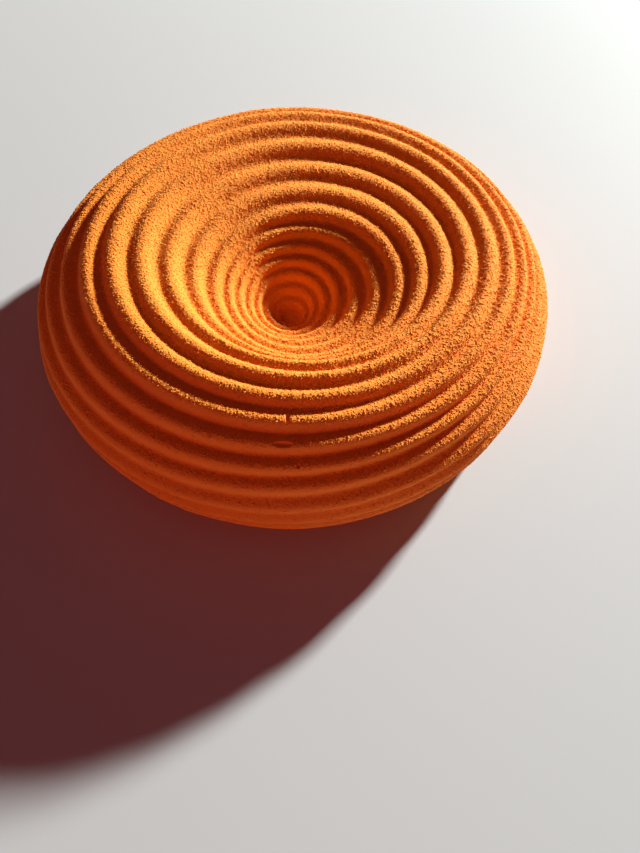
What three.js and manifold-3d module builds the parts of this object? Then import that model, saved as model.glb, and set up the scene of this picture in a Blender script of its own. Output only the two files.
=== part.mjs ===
// Round mousse cake in one piece. A broad ring-shaped dome falls into a funnel at the middle, and closed
// ridges run round it from the pit of the funnel to the foot. The rings of the funnel sit off the axis.
// Millimetres, +Z up. The origin is the middle of the flat foot, and the front of the cake faces -Y.
import * as THREE from 'three';
import { mergeVertices } from 'three/addons/utils/BufferGeometryUtils.js';
import Module from 'manifold-3d';

// Section of the cake, from the pit over the top to the foot, measured to the crests of the ridges
const PIT_HEIGHT = 23.9;
const TOP_RADIUS = 61.4;
const TOP_HEIGHT = 52.2;
const EQUATOR_RADIUS = 97.4;
const EQUATOR_HEIGHT = 26.2;
const FOOT_RADIUS = 89.6;
const FUNNEL_POWER = 1.9;
const SHOULDER_POWER = 1.18;

// Distance from crest to crest along the section. A crest is at each whole ring number.
const PIT_PITCH = 3.93;
const TOP_PITCH = 9.92;
const WALL_PITCH = 7.42;
const SHOULDER_LENGTH = 33;
const PIT_RING = -0.62;

// Inside this ring number the floor of the pit is level
const PIT_FLOOR_RING = 0.4;

// Places of the rings: how far a ring's middle lies to the right of the axis and behind it, how much its
// back and its right side are raised for each millimetre of radius, and how deep the valley beside it is
const RING_PLACES = [
  { ring: 0, right: -0.5, back: -16, backRise: 0.05, rightRise: 0, valley: 0.9 },
  { ring: 3, right: 0.2, back: -14.7, backRise: 0.2, rightRise: 0, valley: 1.3 },
  { ring: 5, right: 2.5, back: -14.7, backRise: 0.11, rightRise: 0, valley: 1.3 },
  { ring: 7, right: 5.8, back: -14.1, backRise: 0.067, rightRise: 0, valley: 1.6 },
  { ring: 9, right: 6.2, back: -7.4, backRise: -0.035, rightRise: -0.021, valley: 2.1 },
  { ring: 11, right: 4.3, back: -1.9, backRise: -0.021, rightRise: -0.024, valley: 2 },
  { ring: 13, right: 1.6, back: 0.6, backRise: -0.013, rightRise: -0.004, valley: 2.1 },
  { ring: 15, right: -1.2, back: 1.1, backRise: -0.015, rightRise: 0.027, valley: 2.1 },
  { ring: 17, right: 0.5, back: -0.4, backRise: 0, rightRise: 0.04, valley: 2.2 },
  { ring: 21, right: 0.5, back: -0.4, backRise: 0, rightRise: 0, valley: 2.2 },
];

// Shape of a ridge: a broad round crest over a narrow valley, and no valley at the foot
const CREST_BREADTH = 1.25;
const FOOT_FADE = 0.4;

// Number of rings above the foot over which the rise of a ring's side dies out
const LEVEL_RINGS = 3.5;

// Small faults at the front: a ring, an angle in degrees, half sizes along and across the ridge, and depth
const FAULTS = [
  { ring: 11.85, angle: -91.8, along: 0.65, across: 2.2, depth: 1.6 },
  { ring: 12.9, angle: -91.6, along: 3.1, across: 1.1, depth: 0.7 },
  { ring: 13.9, angle: -87.4, along: 0.6, across: 0.6, depth: 0.8 },
];

// Fineness of the mesh
const SECTION_STEPS = 1200;
const ROWS_PER_RING = 6;
const SEGMENTS = 44;
const FAULT_SEGMENTS = 12;

const COLOUR = 0xe07a1c;

// Point of the section: t runs 0 to 1 up the funnel, 1 to 2 over the shoulder, 2 to 3 down the wall
function sectionPoint(t) {
  if (t <= 1) {
    const sunk = (1 - t) ** FUNNEL_POWER;
    return new THREE.Vector2(TOP_RADIUS * t, THREE.MathUtils.lerp(TOP_HEIGHT, PIT_HEIGHT, sunk));
  }
  if (t <= 2) {
    const quarter = Math.PI / 2;
    const radius = THREE.MathUtils.lerp(TOP_RADIUS, EQUATOR_RADIUS, Math.sin(quarter * (t - 1)));
    const raised = Math.max(Math.cos(quarter * (t - 1)), 0) ** SHOULDER_POWER;
    return new THREE.Vector2(radius, THREE.MathUtils.lerp(EQUATOR_HEIGHT, TOP_HEIGHT, raised));
  }
  const drop = t - 2;
  const radius = THREE.MathUtils.lerp(EQUATOR_RADIUS, FOOT_RADIUS, drop * drop);
  return new THREE.Vector2(radius, EQUATOR_HEIGHT * (1 - drop));
}

// Crest-to-crest distance at a length along the section
function pitchAt(length, topLength) {
  if (length < topLength) {
    return THREE.MathUtils.lerp(PIT_PITCH, TOP_PITCH, THREE.MathUtils.smoothstep(length, 0, topLength));
  }
  const past = THREE.MathUtils.smoothstep(length, topLength, topLength + SHOULDER_LENGTH);
  return THREE.MathUtils.lerp(TOP_PITCH, WALL_PITCH, past);
}

// Walk along the section, counting rings on the way
function walkSection() {
  const points = Array.from({ length: SECTION_STEPS + 1 }, (_, i) => sectionPoint((3 * i) / SECTION_STEPS));
  const lengths = [0];
  for (let i = 1; i < points.length; i += 1) {
    lengths.push(lengths[i - 1] + points[i].distanceTo(points[i - 1]));
  }
  const topLength = lengths[SECTION_STEPS / 3];
  const rings = [PIT_RING];
  for (let i = 1; i < points.length; i += 1) {
    const middle = (lengths[i] + lengths[i - 1]) / 2;
    rings.push(rings[i - 1] + (lengths[i] - lengths[i - 1]) / pitchAt(middle, topLength));
  }
  return { points, rings };
}

const section = walkSection();
const FOOT_RING = section.rings.at(-1);

// Crest point of the section at a ring number, and the outward direction there
function crestAt(ring) {
  const next = section.rings.findIndex((r) => r >= ring);
  const upper = Math.max(next < 0 ? SECTION_STEPS : next, 1);
  const from = section.points[upper - 1];
  const to = section.points[upper];
  const span = section.rings[upper] - section.rings[upper - 1];
  const share = THREE.MathUtils.clamp((ring - section.rings[upper - 1]) / span, 0, 1);
  const along = to.clone().sub(from).normalize();
  return { point: from.clone().lerp(to, share), outward: new THREE.Vector2(-along.y, along.x) };
}

// Value of one column of RING_PLACES at a ring number, on a smooth curve through its rows
function placeAt(ring, column) {
  const last = RING_PLACES.length - 1;
  const slope = (i) => {
    const before = RING_PLACES[Math.max(i - 1, 0)];
    const after = RING_PLACES[Math.min(i + 1, last)];
    return (after[column] - before[column]) / (after.ring - before.ring);
  };
  const found = RING_PLACES.findIndex((row) => row.ring >= ring);
  const upper = Math.max(found, 1);
  const from = RING_PLACES[upper - 1];
  const to = RING_PLACES[upper];
  const span = to.ring - from.ring;
  const u = (ring - from.ring) / span;
  const ease = u * u * (3 - 2 * u);
  const leave = u * (1 - u) * (1 - u) * span * slope(upper - 1);
  const arrive = u * u * (1 - u) * span * slope(upper);
  return THREE.MathUtils.lerp(from[column], to[column], ease) + leave - arrive;
}

// Radius and height of the ridged surface at a ring number
function ridgedAt(ring) {
  const { point, outward } = crestAt(ring);
  const wave = 0.5 - 0.5 * Math.cos(2 * Math.PI * ring);
  const fade = Math.min((FOOT_RING - ring) / FOOT_FADE, 1);
  const sink = placeAt(ring, 'valley') * wave ** CREST_BREADTH * fade;
  return { radius: Math.max(point.x - sink * outward.x, 0), height: point.y - sink * outward.y };
}

// Point of a ring at an angle, for a given radius and height of the section
function ringPoint(ring, angle, radius, height) {
  const x = placeAt(ring, 'right') + radius * Math.cos(angle);
  const y = placeAt(ring, 'back') + radius * Math.sin(angle);
  const rise = placeAt(ring, 'backRise') * Math.sin(angle) + placeAt(ring, 'rightRise') * Math.cos(angle);
  const fade = Math.min((FOOT_RING - ring) / LEVEL_RINGS, 1);
  return new THREE.Vector3(x, y, height + rise * fade * radius);
}

// Closed skin: the pit, one row of points for each step of a ring, the foot, and the flat underside
function bodyGeometry() {
  const positions = [];
  const pit = ridgedAt(PIT_FLOOR_RING);
  positions.push(...ringPoint(PIT_FLOOR_RING, 0, 0, pit.height));
  const rings = [PIT_FLOOR_RING];
  for (let step = Math.ceil(PIT_FLOOR_RING * ROWS_PER_RING); step < FOOT_RING * ROWS_PER_RING; step += 1) {
    rings.push(step / ROWS_PER_RING);
  }
  rings.push(FOOT_RING);
  for (const ring of rings) {
    const { radius, height } = ridgedAt(ring);
    for (let s = 0; s < SEGMENTS; s += 1) {
      positions.push(...ringPoint(ring, (2 * Math.PI * s) / SEGMENTS, radius, height));
    }
  }
  const underside = positions.length / 3;
  positions.push(0, 0, 0);

  const index = [];
  const lastRow = 1 + (rings.length - 1) * SEGMENTS;
  for (let s = 0; s < SEGMENTS; s += 1) {
    const next = (s + 1) % SEGMENTS;
    index.push(0, 1 + s, 1 + next);
    for (let row = 1; row < lastRow; row += SEGMENTS) {
      index.push(row + s, row + SEGMENTS + s, row + SEGMENTS + next);
      index.push(row + s, row + SEGMENTS + next, row + next);
    }
    index.push(underside, lastRow + next, lastRow + s);
  }
  const geometry = new THREE.BufferGeometry();
  geometry.setAttribute('position', new THREE.Float32BufferAttribute(positions, 3));
  geometry.setIndex(index);
  return geometry;
}

// Egg-shaped cutter that leaves one small fault in a crest
function faultGeometry({ ring, angle, along, across, depth }) {
  const turn = THREE.MathUtils.degToRad(angle);
  const { point, outward } = crestAt(ring);
  const away = new THREE.Vector3(outward.x * Math.cos(turn), outward.x * Math.sin(turn), outward.y);
  const round = new THREE.Vector3(-Math.sin(turn), Math.cos(turn), 0);
  const up = new THREE.Vector3().crossVectors(away, round);
  const frame = new THREE.Matrix4().makeBasis(round, up, away);
  const geometry = new THREE.SphereGeometry(1, FAULT_SEGMENTS, FAULT_SEGMENTS);
  geometry.scale(along, across, depth);
  geometry.applyMatrix4(frame);
  const centre = ringPoint(ring, turn, point.x, point.y);
  geometry.translate(centre.x, centre.y, centre.z);
  return geometry;
}

const wasm = await Module();
wasm.setup();

// Solid of a closed geometry, with the points that its triangles share merged
function solidOf(geometry) {
  geometry.deleteAttribute('normal');
  geometry.deleteAttribute('uv');
  const merged = mergeVertices(geometry);
  const vertProperties = new Float32Array(merged.attributes.position.array);
  const triVerts = new Uint32Array(merged.index.array);
  return new wasm.Manifold(new wasm.Mesh({ numProp: 3, vertProperties, triVerts }));
}

// Geometry of a solid
function geometryOf(solid) {
  const mesh = solid.getMesh();
  const geometry = new THREE.BufferGeometry();
  geometry.setAttribute('position', new THREE.Float32BufferAttribute(mesh.vertProperties, 3));
  geometry.setIndex(Array.from(mesh.triVerts));
  geometry.computeVertexNormals();
  return geometry;
}

const whole = solidOf(bodyGeometry());
const faulted = FAULTS.reduce((solid, fault) => solid.subtract(solidOf(faultGeometry(fault))), whole);

const coat = new THREE.MeshStandardMaterial({ color: COLOUR, roughness: 0.95, metalness: 0 });
const cake = new THREE.Mesh(geometryOf(faulted), coat);
cake.name = 'mousse_cake';

const part = new THREE.Group();
part.add(cake);

export default part;
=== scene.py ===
# Round mousse cake under a sprayed velvet coat, seen from the front and well above
import math

import bpy
import numpy as np
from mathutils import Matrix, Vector, noise


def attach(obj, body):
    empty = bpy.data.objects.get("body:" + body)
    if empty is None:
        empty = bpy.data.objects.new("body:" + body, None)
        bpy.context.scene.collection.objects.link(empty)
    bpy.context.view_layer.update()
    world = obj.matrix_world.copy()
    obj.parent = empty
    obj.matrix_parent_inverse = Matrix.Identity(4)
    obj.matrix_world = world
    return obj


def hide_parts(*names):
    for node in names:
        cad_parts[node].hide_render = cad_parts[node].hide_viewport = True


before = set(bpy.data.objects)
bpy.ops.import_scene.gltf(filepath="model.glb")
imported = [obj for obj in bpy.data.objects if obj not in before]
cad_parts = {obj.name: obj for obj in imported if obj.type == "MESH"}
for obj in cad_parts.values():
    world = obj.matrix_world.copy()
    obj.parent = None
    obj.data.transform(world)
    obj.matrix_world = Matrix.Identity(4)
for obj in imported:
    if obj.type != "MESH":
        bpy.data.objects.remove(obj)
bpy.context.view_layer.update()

NODE = "mousse_cake"
BODY = "root"

# Sizes are in millimetres unless a comment says otherwise, and Blender's are in metres
MM = 0.001
TINY = 1e-9

# Section of the cake from the pit over the top to the foot, along the crests of the ridges
PIT_HEIGHT = 23.9
TOP_RADIUS = 61.4
TOP_HEIGHT = 52.2
EQUATOR_RADIUS = 97.4
EQUATOR_HEIGHT = 26.2
FOOT_RADIUS = 89.6
FUNNEL_POWER = 1.9
SHOULDER_POWER = 1.18

# Distance from crest to crest along the section, with a crest at each whole ring number
PIT_PITCH = 3.93
TOP_PITCH = 9.92
WALL_PITCH = 7.42
SHOULDER_LENGTH = 33.0
PIT_RING = -0.62

# Inside this ring number the floor of the pit is level
PIT_FLOOR_RING = 0.4

# Places of the rings, fitted to the photo: ring number, shift to the right and to the back,
# rise of the back and of the right for each millimetre of radius, and depth of the valley
RING, RIGHT, BACK, BACK_RISE, RIGHT_RISE, VALLEY = range(6)
RING_PLACES = np.array([
    (0, -0.5, -16.0, 0.050, 0.000, 0.90),
    (3, 0.2, -14.7, 0.200, 0.000, 1.30),
    (5, 2.5, -14.7, 0.110, 0.000, 1.30),
    (7, 5.8, -14.1, 0.067, 0.000, 1.60),
    (9, 6.2, -7.4, -0.035, -0.021, 2.10),
    (11, 4.3, -1.9, -0.021, -0.024, 2.00),
    (13, 1.6, 0.6, -0.013, -0.004, 2.10),
    (15, -1.2, 1.1, -0.015, 0.027, 2.10),
    (17, 0.5, -0.4, 0.000, 0.040, 2.20),
    (21, 0.5, -0.4, 0.000, 0.000, 2.20),
])

# Shape of a ridge: a broad round crest over a narrow valley, and no valley at the foot
CREST_BREADTH = 1.25
FOOT_FADE = 0.4

# Number of rings above the foot over which the rise of a ring's side dies out
LEVEL_RINGS = 3.5

# Small faults at the front: ring, angle in degrees, half sizes along and across the ridge, depth
FAULTS = (
    (11.85, -91.8, 0.65, 2.2, 1.6),
    (12.9, -91.6, 3.1, 1.1, 0.7),
    (13.9, -87.4, 0.6, 0.6, 0.8),
)
FAULT_FINENESS = 4

# Room that grains leave round a fault, sideways and in depth
FAULT_CLEARANCE = 0.25
FAULT_DEPTH_CLEARANCE = 1.0

# Fineness of the skin, and how far its points stray along a row as a share of their spacing
SECTION_STEPS = 1500
ROW_STEPS = 3 * SECTION_STEPS
SKIN_STEP = 0.8
POINT_STRAY = 0.25

# Unevenness of the skin: (size, height) of its lumps, its fine roughness, and the height above
# the foot over which both set in
LUMPS = ((22.0, 0.20), (6.0, 0.08), (2.2, 0.06))
SKIN_ROUGHNESS = 0.04
FLAT_FOOT = 1.5

# Velvet grains: name, count, width and height of a grain, and the height below which none stands
GRAINS = (
    ("velvet_grains_coarse", 48000, 0.92, 0.28),
    ("velvet_grains_medium", 48000, 0.78, 0.24),
    ("velvet_grains_fine", 48000, 0.60, 0.19),
)
BARE_FOOT = 0.5
GRAIN_SINK = 0.08

# Shape of a grain: range of its size, reach of a corner as a share of its width and the range of
# that, stray of a corner as a share of a third of a turn, and lean of the tip as a share of its width
GRAIN_SIZES = (0.7, 1.3)
CORNER_REACH = 0.58
CORNER_REACHES = (0.8, 1.2)
CORNER_STRAY = 0.2
TIP_LEAN = 0.15

# Faces of a grain over its three corners and its tip, smooth except for the hidden one below
GRAIN_FACES = np.array([(0, 1, 3), (1, 2, 3), (2, 0, 3), (2, 1, 0)])
GRAIN_SMOOTH = (True, True, True, False)

# Direction that the coat is taken to be sprayed from, the share of a grain's height on faces turned
# away from it, and how far a face has to turn towards it for the height to start and to reach its full
SPRAY_FROM = np.array((0.5, 0.5, 0.71))
SPRAY_LEAST = 0.3
SPRAY_START = -0.2
SPRAY_SPAN = 0.7
SEED = 20

# Coats: colour of the dark and of the bright speckles, size of a speckle and height of its bump. The
# grain coat is lighter than the skin's: painted light on the grains and painted shade in the gaps
# between them, besides the random speckle
BODY_COAT = ((0.76, 0.205, 0.017, 1.0), (0.84, 0.245, 0.025, 1.0), 0.7, 0.05)
GRAIN_COAT = ((0.80, 0.235, 0.023, 1.0), (0.90, 0.300, 0.036, 1.0), 0.5, 0.02)

# What both coats share: a dusty edge, light that goes a little way in, and a matt surface
COAT_SOCKETS = {
    "Specular IOR Level": 0.25,
    "Sheen Weight": 0.05,
    "Sheen Roughness": 0.5,
    "Sheen Tint": (1.0, 0.55, 0.25, 1.0),
    "Subsurface Weight": 0.2,
    "Subsurface Radius": (1.0, 0.3, 0.05),
    "Subsurface Scale": 1.2 * MM,
}
COAT_ROUGHNESS = (0.78, 1.0)

# Speckle of the coats: its detail, the size and share of a slow drift in tone, and the tones at
# which the dark colour ends and the bright one is reached
SPECKLE_DETAIL = 3.0
DRIFT_SIZE = 25.0
DRIFT_SHARE = 0.35
TONE_RANGE = (0.45, 0.9)

# Floor, with its half width in metres
FLOOR_REACH = 2.0
FLOOR_COLOUR = (0.50, 0.50, 0.50, 1.0)
FLOOR_ROUGHNESS = 0.8

# Light panels: azimuth and elevation in degrees, distance, width and height in metres, watts, colour
KEY = (45.3, 21.2, 3.0, 0.20, 0.20, 302.0, (0.91, 0.98, 0.95))
FILL = (-105.0, 5.0, 3.2, 5.2, 0.54, 38.5, (1.0, 0.19, 0.21))
OVERHEAD = (0.0, 90.0, 1.6, 3.2, 3.2, 5.7, (1.0, 0.12, 0.15))
AMBIENT_COLOUR = (1.0, 0.95, 0.92)
AMBIENT_STRENGTH = 0.025

# Camera: its place, its tilt from straight down in degrees, and the nearest that it sees
CAMERA_PLACE = (10.72, -182.17, 227.6)
CAMERA_TILT = 30.4
CLIP_START = 10.0

# Lens: focal length and picture height in the photo's pixels, and the sensor's width
FOCAL_PIXELS = 680
IMAGE_HEIGHT = 853
SENSOR = 36.0


def smooth_step(x):
    """Smooth rise from 0 to 1 as x goes from 0 to 1."""
    x = np.clip(x, 0.0, 1.0)
    return x * x * (3.0 - 2.0 * x)


def mix(a, b, share):
    """Value that lies a share of the way from a to b."""
    return a + (b - a) * share


def section():
    """Crest points of the section and the ring number at each."""
    t = np.linspace(0.0, 1.0, SECTION_STEPS)
    quarter = 0.5 * np.pi * t
    sunk = (1.0 - t) ** FUNNEL_POWER
    raised = np.maximum(np.cos(quarter), 0.0) ** SHOULDER_POWER
    funnel = np.stack([TOP_RADIUS * t, mix(TOP_HEIGHT, PIT_HEIGHT, sunk)], -1)
    shoulder = np.stack([mix(TOP_RADIUS, EQUATOR_RADIUS, np.sin(quarter)),
                         mix(EQUATOR_HEIGHT, TOP_HEIGHT, raised)], -1)
    wall = np.stack([mix(EQUATOR_RADIUS, FOOT_RADIUS, t * t), EQUATOR_HEIGHT * (1.0 - t)], -1)
    points = np.concatenate([funnel, shoulder[1:], wall[1:]])
    steps = np.hypot(*np.diff(points, axis=0).T)
    length = np.concatenate([[0.0], np.cumsum(steps)])
    top = length[SECTION_STEPS - 1]
    middle = 0.5 * (length[1:] + length[:-1])
    inner = mix(PIT_PITCH, TOP_PITCH, smooth_step(middle / top))
    outer = mix(TOP_PITCH, WALL_PITCH, smooth_step((middle - top) / SHOULDER_LENGTH))
    pitch = np.where(middle < top, inner, outer)
    return points, PIT_RING + np.concatenate([[0.0], np.cumsum(steps / pitch)])


CREST_POINTS, CREST_RINGS = section()
FOOT_RING = CREST_RINGS[-1]
CREST_LINES = np.gradient(CREST_POINTS, axis=0)
CREST_LINES /= np.linalg.norm(CREST_LINES, axis=1, keepdims=True)


def place(ring, column):
    """One column of RING_PLACES at ring numbers, on a smooth curve through its rows."""
    stations = RING_PLACES[:, RING]
    values = RING_PLACES[:, column]
    before = np.maximum(np.arange(len(stations)) - 1, 0)
    after = np.minimum(np.arange(len(stations)) + 1, len(stations) - 1)
    slope = (values[after] - values[before]) / (stations[after] - stations[before])
    i = np.clip(np.searchsorted(stations, ring) - 1, 0, len(stations) - 2)
    span = stations[i + 1] - stations[i]
    u = (ring - stations[i]) / span
    bend = u * (1 - u) * span * ((1 - u) * slope[i] - u * slope[i + 1])
    return mix(values[i], values[i + 1], u * u * (3 - 2 * u)) + bend


def ridged(ring):
    """Radius and height of the ridged surface at ring numbers."""
    radius = np.interp(ring, CREST_RINGS, CREST_POINTS[:, 0])
    height = np.interp(ring, CREST_RINGS, CREST_POINTS[:, 1])
    out = -np.interp(ring, CREST_RINGS, CREST_LINES[:, 1])
    up = np.interp(ring, CREST_RINGS, CREST_LINES[:, 0])
    wave = 0.5 - 0.5 * np.cos(2.0 * np.pi * ring)
    fade = np.clip((FOOT_RING - ring) / FOOT_FADE, 0.0, 1.0)
    sink = place(ring, VALLEY) * wave ** CREST_BREADTH * fade
    return np.maximum(radius - sink * out, 0.0), height - sink * up


def surface(ring, angle):
    """Points of the cake's skin."""
    radius, height = ridged(ring)
    x = place(ring, RIGHT) + radius * np.cos(angle)
    y = place(ring, BACK) + radius * np.sin(angle)
    rise = place(ring, BACK_RISE) * np.sin(angle) + place(ring, RIGHT_RISE) * np.cos(angle)
    fade = np.clip((FOOT_RING - ring) / LEVEL_RINGS, 0.0, 1.0)
    z = height + rise * fade * radius
    return np.stack([x, y, z], -1)


def rows_of_skin():
    """Ring numbers of the skin's rows, evenly spaced along the ridged section."""
    ring = np.linspace(PIT_FLOOR_RING, FOOT_RING, ROW_STEPS)
    line = np.stack(ridged(ring), -1)
    length = np.concatenate([[0.0], np.cumsum(np.hypot(*np.diff(line, axis=0).T))])
    return np.interp(np.linspace(0.0, length[-1], round(length[-1] / SKIN_STEP)), length, ring)


def points_in_row(ring):
    """Number of points in the skin's row at a ring number."""
    return round(2 * np.pi * float(ridged(ring)[0]) / SKIN_STEP)


def zip_rows(first, n_first, second, n_second):
    """Triangles between two closed rows of points, each row evenly spaced."""
    first_ends = (np.arange(n_first) + 1) / n_first
    second_ends = (np.arange(n_second) + 1) / n_second
    order = np.argsort(np.concatenate([first_ends, second_ends]), kind="stable")
    on_first = order < n_first
    i = np.cumsum(on_first) - on_first
    j = np.cumsum(~on_first) - ~on_first
    a, b = first + i % n_first, second + j % n_second
    third = np.where(on_first, first + (i + 1) % n_first, second + (j + 1) % n_second)
    faces = np.stack([a, b, third], -1)
    return faces[(a != third) & (b != third)]


def skin(random):
    """Points and triangles of the closed skin of the cake, before any unevenness."""
    rows = rows_of_skin()
    n = points_in_row(rows[0])
    rim = surface(np.full(n, rows[0]), 2 * np.pi * np.arange(n) / n)
    points, faces = [rim.mean(axis=0, keepdims=True)], []
    first, n_first = 0, 1
    for ring in rows:
        n = points_in_row(ring)
        angle = 2 * np.pi * (np.arange(n) + random.uniform(-POINT_STRAY, POINT_STRAY, n)) / n
        second = first + n_first
        points.append(surface(np.full(n, ring), angle))
        faces.append(zip_rows(first, n_first, second, n))
        first, n_first = second, n
    points.append(np.zeros((1, 3)))
    faces.append(zip_rows(first, n_first, first + n_first, 1))
    return np.concatenate(points), np.concatenate(faces)


def normals(points, faces):
    """Face areas, and a unit normal for each point."""
    a, b, c = (points[faces[:, k]] for k in range(3))
    cross = np.cross(b - a, c - a)
    total = np.stack([sum(np.bincount(faces[:, k], cross[:, axis], len(points)) for k in range(3))
                      for axis in range(3)], -1)
    area = 0.5 * np.linalg.norm(cross, axis=1)
    return area, total / np.maximum(np.linalg.norm(total, axis=1, keepdims=True), TINY)


def make_mesh(name, points, faces, smooth):
    """Object of a triangle mesh, with each face smooth or flat as told."""
    mesh = bpy.data.meshes.new(name)
    mesh.from_pydata(points * MM, [], faces)
    mesh.polygons.foreach_set("use_smooth", smooth)
    piece = bpy.data.objects.new(name, mesh)
    bpy.context.scene.collection.objects.link(piece)
    return piece


def uneven(points, outward, random):
    """Skin with the slight lumps of a hand-sprayed coat, and its foot left flat."""
    lift = random.normal(0.0, SKIN_ROUGHNESS, len(points))
    for size, height in LUMPS:
        lift += height * np.array([noise.noise(Vector(p)) for p in points / size])
    keep = np.clip(points[:, 2] / FLAT_FOOT, 0.0, 1.0)
    return points + outward * (lift * keep)[:, None]


def fault_frame(ring, angle):
    """Middle of a fault on its crest, and the directions along the ridge, across it and outward."""
    turn = math.radians(angle)
    line = np.array([np.interp(ring, CREST_RINGS, CREST_LINES[:, k]) for k in range(2)])
    along = np.array([-math.sin(turn), math.cos(turn), 0.0])
    outside = np.array([math.cos(turn), math.sin(turn), 0.0])
    across = outside * line[0] + np.array([0.0, 0.0, line[1]])
    away = np.cross(across, along)
    middle = surface(np.array(float(ring)), np.array(turn))
    return middle, along, across, away * np.sign(away[2])


def cut_faults(piece):
    """Cuts the crack, the dent and the pinhole out of the skin."""
    for ring, angle, along_half, across_half, depth in FAULTS:
        middle, along, across, away = fault_frame(ring, angle)
        bpy.ops.mesh.primitive_ico_sphere_add(subdivisions=FAULT_FINENESS, radius=1.0)
        cutter = bpy.context.object
        ball = np.array([v.co for v in cutter.data.vertices])
        shape = (ball[:, :1] * along * along_half + ball[:, 1:2] * across * across_half
                 + ball[:, 2:] * away * depth + middle)
        if np.dot(np.cross(along, across), away) < 0:
            cutter.data.flip_normals()
        cutter.data.vertices.foreach_set("co", (shape * MM).ravel())
        cut = piece.modifiers.new("fault", "BOOLEAN")
        cut.solver = "MANIFOLD"
        cut.object = cutter
        depsgraph = bpy.context.evaluated_depsgraph_get()
        carved = bpy.data.meshes.new_from_object(piece.evaluated_get(depsgraph))
        piece.modifiers.clear()
        piece.data = carved
        bpy.data.objects.remove(cutter)


def outside_faults(points):
    """True where a point is clear of every fault."""
    clear = np.ones(len(points), bool)
    for ring, angle, along_half, across_half, depth in FAULTS:
        middle, along, across, away = fault_frame(ring, angle)
        away_from = points - middle
        reach = (((away_from @ along) / (along_half + FAULT_CLEARANCE)) ** 2
                 + ((away_from @ across) / (across_half + FAULT_CLEARANCE)) ** 2
                 + ((away_from @ away) / (depth + FAULT_DEPTH_CLEARANCE)) ** 2)
        clear &= reach > 1.0
    return clear


def scatter(points, faces, outward, count, random):
    """Even scatter of places on the skin, with the outward direction at each."""
    area, _ = normals(points, faces)
    area[(points[faces][:, :, 2] < BARE_FOOT).any(axis=1)] = 0.0
    reach = np.cumsum(area)
    at = np.searchsorted(reach, (np.arange(count) + random.random(count)) / count * reach[-1])
    corner = faces[np.minimum(at, len(faces) - 1)]
    share = random.dirichlet((1.0, 1.0, 1.0), count)
    spots = np.einsum("nk,nkd->nd", share, points[corner])
    away = np.einsum("nk,nkd->nd", share, outward[corner])
    clear = outside_faults(spots)
    return spots[clear], away[clear] / np.linalg.norm(away[clear], axis=1, keepdims=True)


def grains(name, spots, away, width, height, random):
    """Small three-sided grains standing on the skin, joined into one piece."""
    n = len(spots)
    across = np.cross(away, random.normal(size=(n, 3)))
    across /= np.linalg.norm(across, axis=1, keepdims=True)
    along = np.cross(away, across)
    size = random.uniform(*GRAIN_SIZES, (n, 1))
    corners = []
    for k in range(3):
        turn = 2 * np.pi * (k + random.uniform(-CORNER_STRAY, CORNER_STRAY, (n, 1))) / 3
        reach = CORNER_REACH * width * size * random.uniform(*CORNER_REACHES, (n, 1))
        side = np.cos(turn) * across + np.sin(turn) * along
        corners.append(spots + reach * side - GRAIN_SINK * away)
    lean = TIP_LEAN * width * random.uniform(-1.0, 1.0, (n, 2))
    facing = smooth_step((away @ SPRAY_FROM - SPRAY_START) / SPRAY_SPAN)
    sprayed = mix(SPRAY_LEAST, 1.0, facing)[:, None]
    tip = spots + height * sprayed * size * away + lean[:, :1] * across + lean[:, 1:] * along
    points = np.stack(corners + [tip], 1).reshape(-1, 3)
    faces = (4 * np.arange(n)[:, None, None] + GRAIN_FACES).reshape(-1, 3)
    return make_mesh(name, points, faces, np.tile(GRAIN_SMOOTH, n))


def velvet(name, dark, bright, speckle_size, bump_height):
    """Matt sprayed cocoa-butter coat: speckled colour, soft light inside and a dusty edge."""
    material = bpy.data.materials.new(name)
    material.use_nodes = True
    nodes, links = material.node_tree.nodes, material.node_tree.links
    shader = nodes["Principled BSDF"]
    for socket, value in COAT_SOCKETS.items():
        shader.inputs[socket].default_value = value
    where = nodes.new("ShaderNodeTexCoord")
    speckle = nodes.new("ShaderNodeTexNoise")
    speckle.inputs["Scale"].default_value = 1.0 / (speckle_size * MM)
    speckle.inputs["Detail"].default_value = SPECKLE_DETAIL
    links.new(where.outputs["Object"], speckle.inputs["Vector"])
    drift = nodes.new("ShaderNodeTexNoise")
    drift.inputs["Scale"].default_value = 1.0 / (DRIFT_SIZE * MM)
    links.new(where.outputs["Object"], drift.inputs["Vector"])
    tone = nodes.new("ShaderNodeMath")
    tone.operation = "MULTIPLY_ADD"
    tone.inputs[1].default_value = DRIFT_SHARE
    links.new(drift.outputs["Fac"], tone.inputs[0])
    links.new(speckle.outputs["Fac"], tone.inputs[2])
    ramp = nodes.new("ShaderNodeValToRGB")
    for stop, position, colour in zip(ramp.color_ramp.elements, TONE_RANGE, (dark, bright)):
        stop.position = position
        stop.color = colour
    links.new(tone.outputs["Value"], ramp.inputs["Fac"])
    links.new(ramp.outputs["Color"], shader.inputs["Base Color"])
    matt = nodes.new("ShaderNodeMapRange")
    matt.inputs["To Min"].default_value, matt.inputs["To Max"].default_value = COAT_ROUGHNESS
    links.new(speckle.outputs["Fac"], matt.inputs["Value"])
    links.new(matt.outputs["Result"], shader.inputs["Roughness"])
    bump = nodes.new("ShaderNodeBump")
    bump.inputs["Distance"].default_value = bump_height * MM
    links.new(speckle.outputs["Fac"], bump.inputs["Height"])
    links.new(bump.outputs["Normal"], shader.inputs["Normal"])
    return material


def dress(piece, material):
    """Gives a piece its coat, and has it ride with the cake."""
    piece.data.materials.clear()
    piece.data.materials.append(material)
    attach(piece, BODY)


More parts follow.
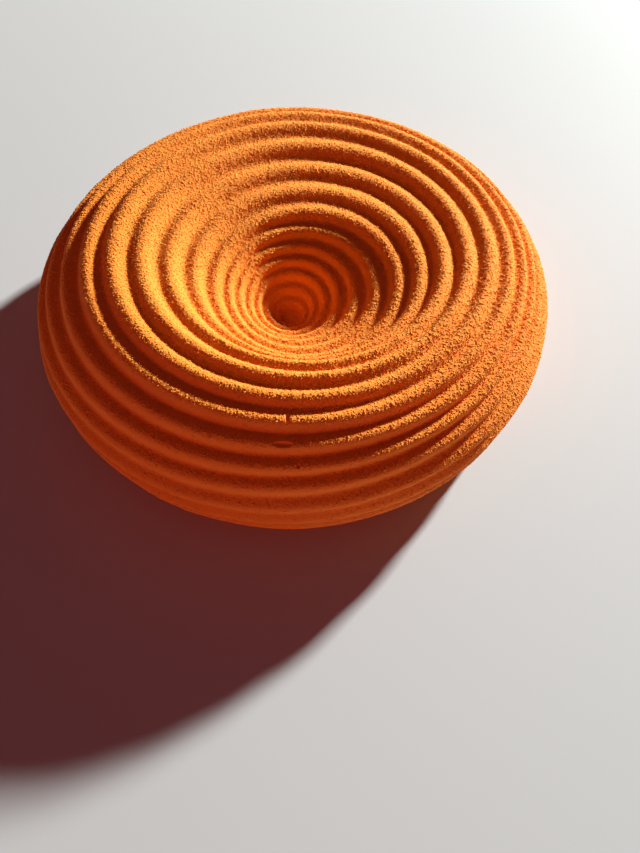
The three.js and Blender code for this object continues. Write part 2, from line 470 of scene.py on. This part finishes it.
def build_cake():
    """The cake's skin with its faults, and the grains of the velvet coat on it."""
    random = np.random.default_rng(SEED)
    points, faces = skin(random)
    _, outward = normals(points, faces)
    points = uneven(points, outward, random)
    cake = make_mesh("cake_body", points, faces, np.full(len(faces), True))
    cut_faults(cake)
    dress(cake, velvet("velvet_base", *BODY_COAT))
    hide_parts(NODE)
    # The grains take the lighter coat: painted light on them against the darker skin in the gaps
    coat = velvet("velvet_grain", *GRAIN_COAT)
    for name, count, width, height in GRAINS:
        spots, away = scatter(points, faces, outward, count, random)
        dress(grains(name, spots, away, width, height, random), coat)


def build_floor():
    """Plain pale floor."""
    mesh = bpy.data.meshes.new("floor")
    corners = [(-FLOOR_REACH, -FLOOR_REACH, 0), (FLOOR_REACH, -FLOOR_REACH, 0),
               (FLOOR_REACH, FLOOR_REACH, 0), (-FLOOR_REACH, FLOOR_REACH, 0)]
    mesh.from_pydata(corners, [], [(0, 1, 2, 3)])
    floor = bpy.data.objects.new("floor", mesh)
    bpy.context.scene.collection.objects.link(floor)
    material = bpy.data.materials.new("pale_floor")
    material.use_nodes = True
    shader = material.node_tree.nodes["Principled BSDF"]
    shader.inputs["Base Color"].default_value = FLOOR_COLOUR
    shader.inputs["Roughness"].default_value = FLOOR_ROUGHNESS
    mesh.materials.append(material)


def area_light(name, azimuth, elevation, distance, width, height, power, colour):
    """Light panel aimed at the cake, and not seen by the camera."""
    light = bpy.data.lights.new(name, "AREA")
    light.shape = "RECTANGLE"
    light.size = width
    light.size_y = height
    light.energy = power
    light.color = colour
    lamp = bpy.data.objects.new(name, light)
    turn = math.radians(azimuth)
    rise = math.radians(elevation)
    level = math.cos(rise)
    towards = Vector((math.cos(turn) * level, math.sin(turn) * level, math.sin(rise)))
    lamp.location = towards * distance
    lamp.rotation_euler = towards.to_track_quat("Z", "Y").to_euler()
    lamp.visible_camera = False
    bpy.context.scene.collection.objects.link(lamp)


def build_light():
    """Key where the sun stood, two tinted panels for the light of the room, and a weak plain world."""
    area_light("key", *KEY)
    area_light("fill", *FILL)
    area_light("overhead", *OVERHEAD)
    world = bpy.data.worlds.new("studio")
    world.use_nodes = True
    background = world.node_tree.nodes["Background"]
    background.inputs["Color"].default_value = (*AMBIENT_COLOUR, 1.0)
    background.inputs["Strength"].default_value = AMBIENT_STRENGTH
    bpy.context.scene.world = world


def build_camera():
    """Camera at the photo's viewing angle."""
    camera = bpy.data.cameras.new("camera")
    camera.sensor_width = SENSOR
    camera.lens = FOCAL_PIXELS / IMAGE_HEIGHT * SENSOR
    camera.clip_start = CLIP_START * MM
    holder = bpy.data.objects.new("camera", camera)
    holder.location = Vector(CAMERA_PLACE) * MM
    holder.rotation_euler = (math.radians(CAMERA_TILT), 0.0, 0.0)
    bpy.context.scene.collection.objects.link(holder)
    bpy.context.scene.camera = holder


build_camera()
build_cake()
build_floor()
build_light()
bpy.context.scene.view_settings.view_transform = "Standard"
